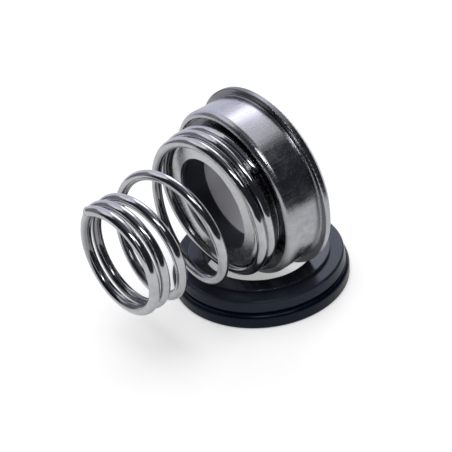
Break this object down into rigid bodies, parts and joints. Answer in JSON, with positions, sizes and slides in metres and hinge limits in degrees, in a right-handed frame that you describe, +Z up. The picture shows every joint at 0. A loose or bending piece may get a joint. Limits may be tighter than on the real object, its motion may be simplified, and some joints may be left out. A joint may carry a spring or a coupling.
{
  "type": "component mechanical seal",
  "caption": "Mechanical shaft seal: rotating head with steel shell, sleeve, seal ring and conical spring, leaning on a rubber-cupped stationary seat.",
  "frame": {"origin": "on the seat's axis at its back face, which lies on the floor", "axes": "+Z up along the seat's axis; the head's axis runs from the spring to the sealing face towards +X, +Y and slightly up"},
  "size_m": [0.043, 0.0404, 0.0344],
  "materials": {
    "seat_rubber": "moulded, slightly glossy black rubber",
    "carbon": "lapped carbon, satin, dark grey",
    "shell_steel": "drawn stainless sheet, satin with fine lines along the axis",
    "sleeve_rubber": "smooth black rubber",
    "seal_ceramic": "ground off-white ceramic with a lapped face",
    "spring_steel": "bright drawn stainless wire"
  },
  "bodies": {
    "head_and_seat": {"seat_cup": "seat_rubber", "seat_ring": "carbon", "shell": "shell_steel", "rubber_sleeve": "sleeve_rubber", "seal_ring": "seal_ceramic"},
    "spring": {"spring": "spring_steel"}
  },
  "joints": [
    {"name": "spring_compression", "type": "slide", "parent": "head_and_seat", "child": "spring", "axis": [0.8024, 0.5938, 0.0593], "range_m": [0, 0.008], "stiffness_N_per_m": 2000, "deforming": ["spring"]}
  ]
}
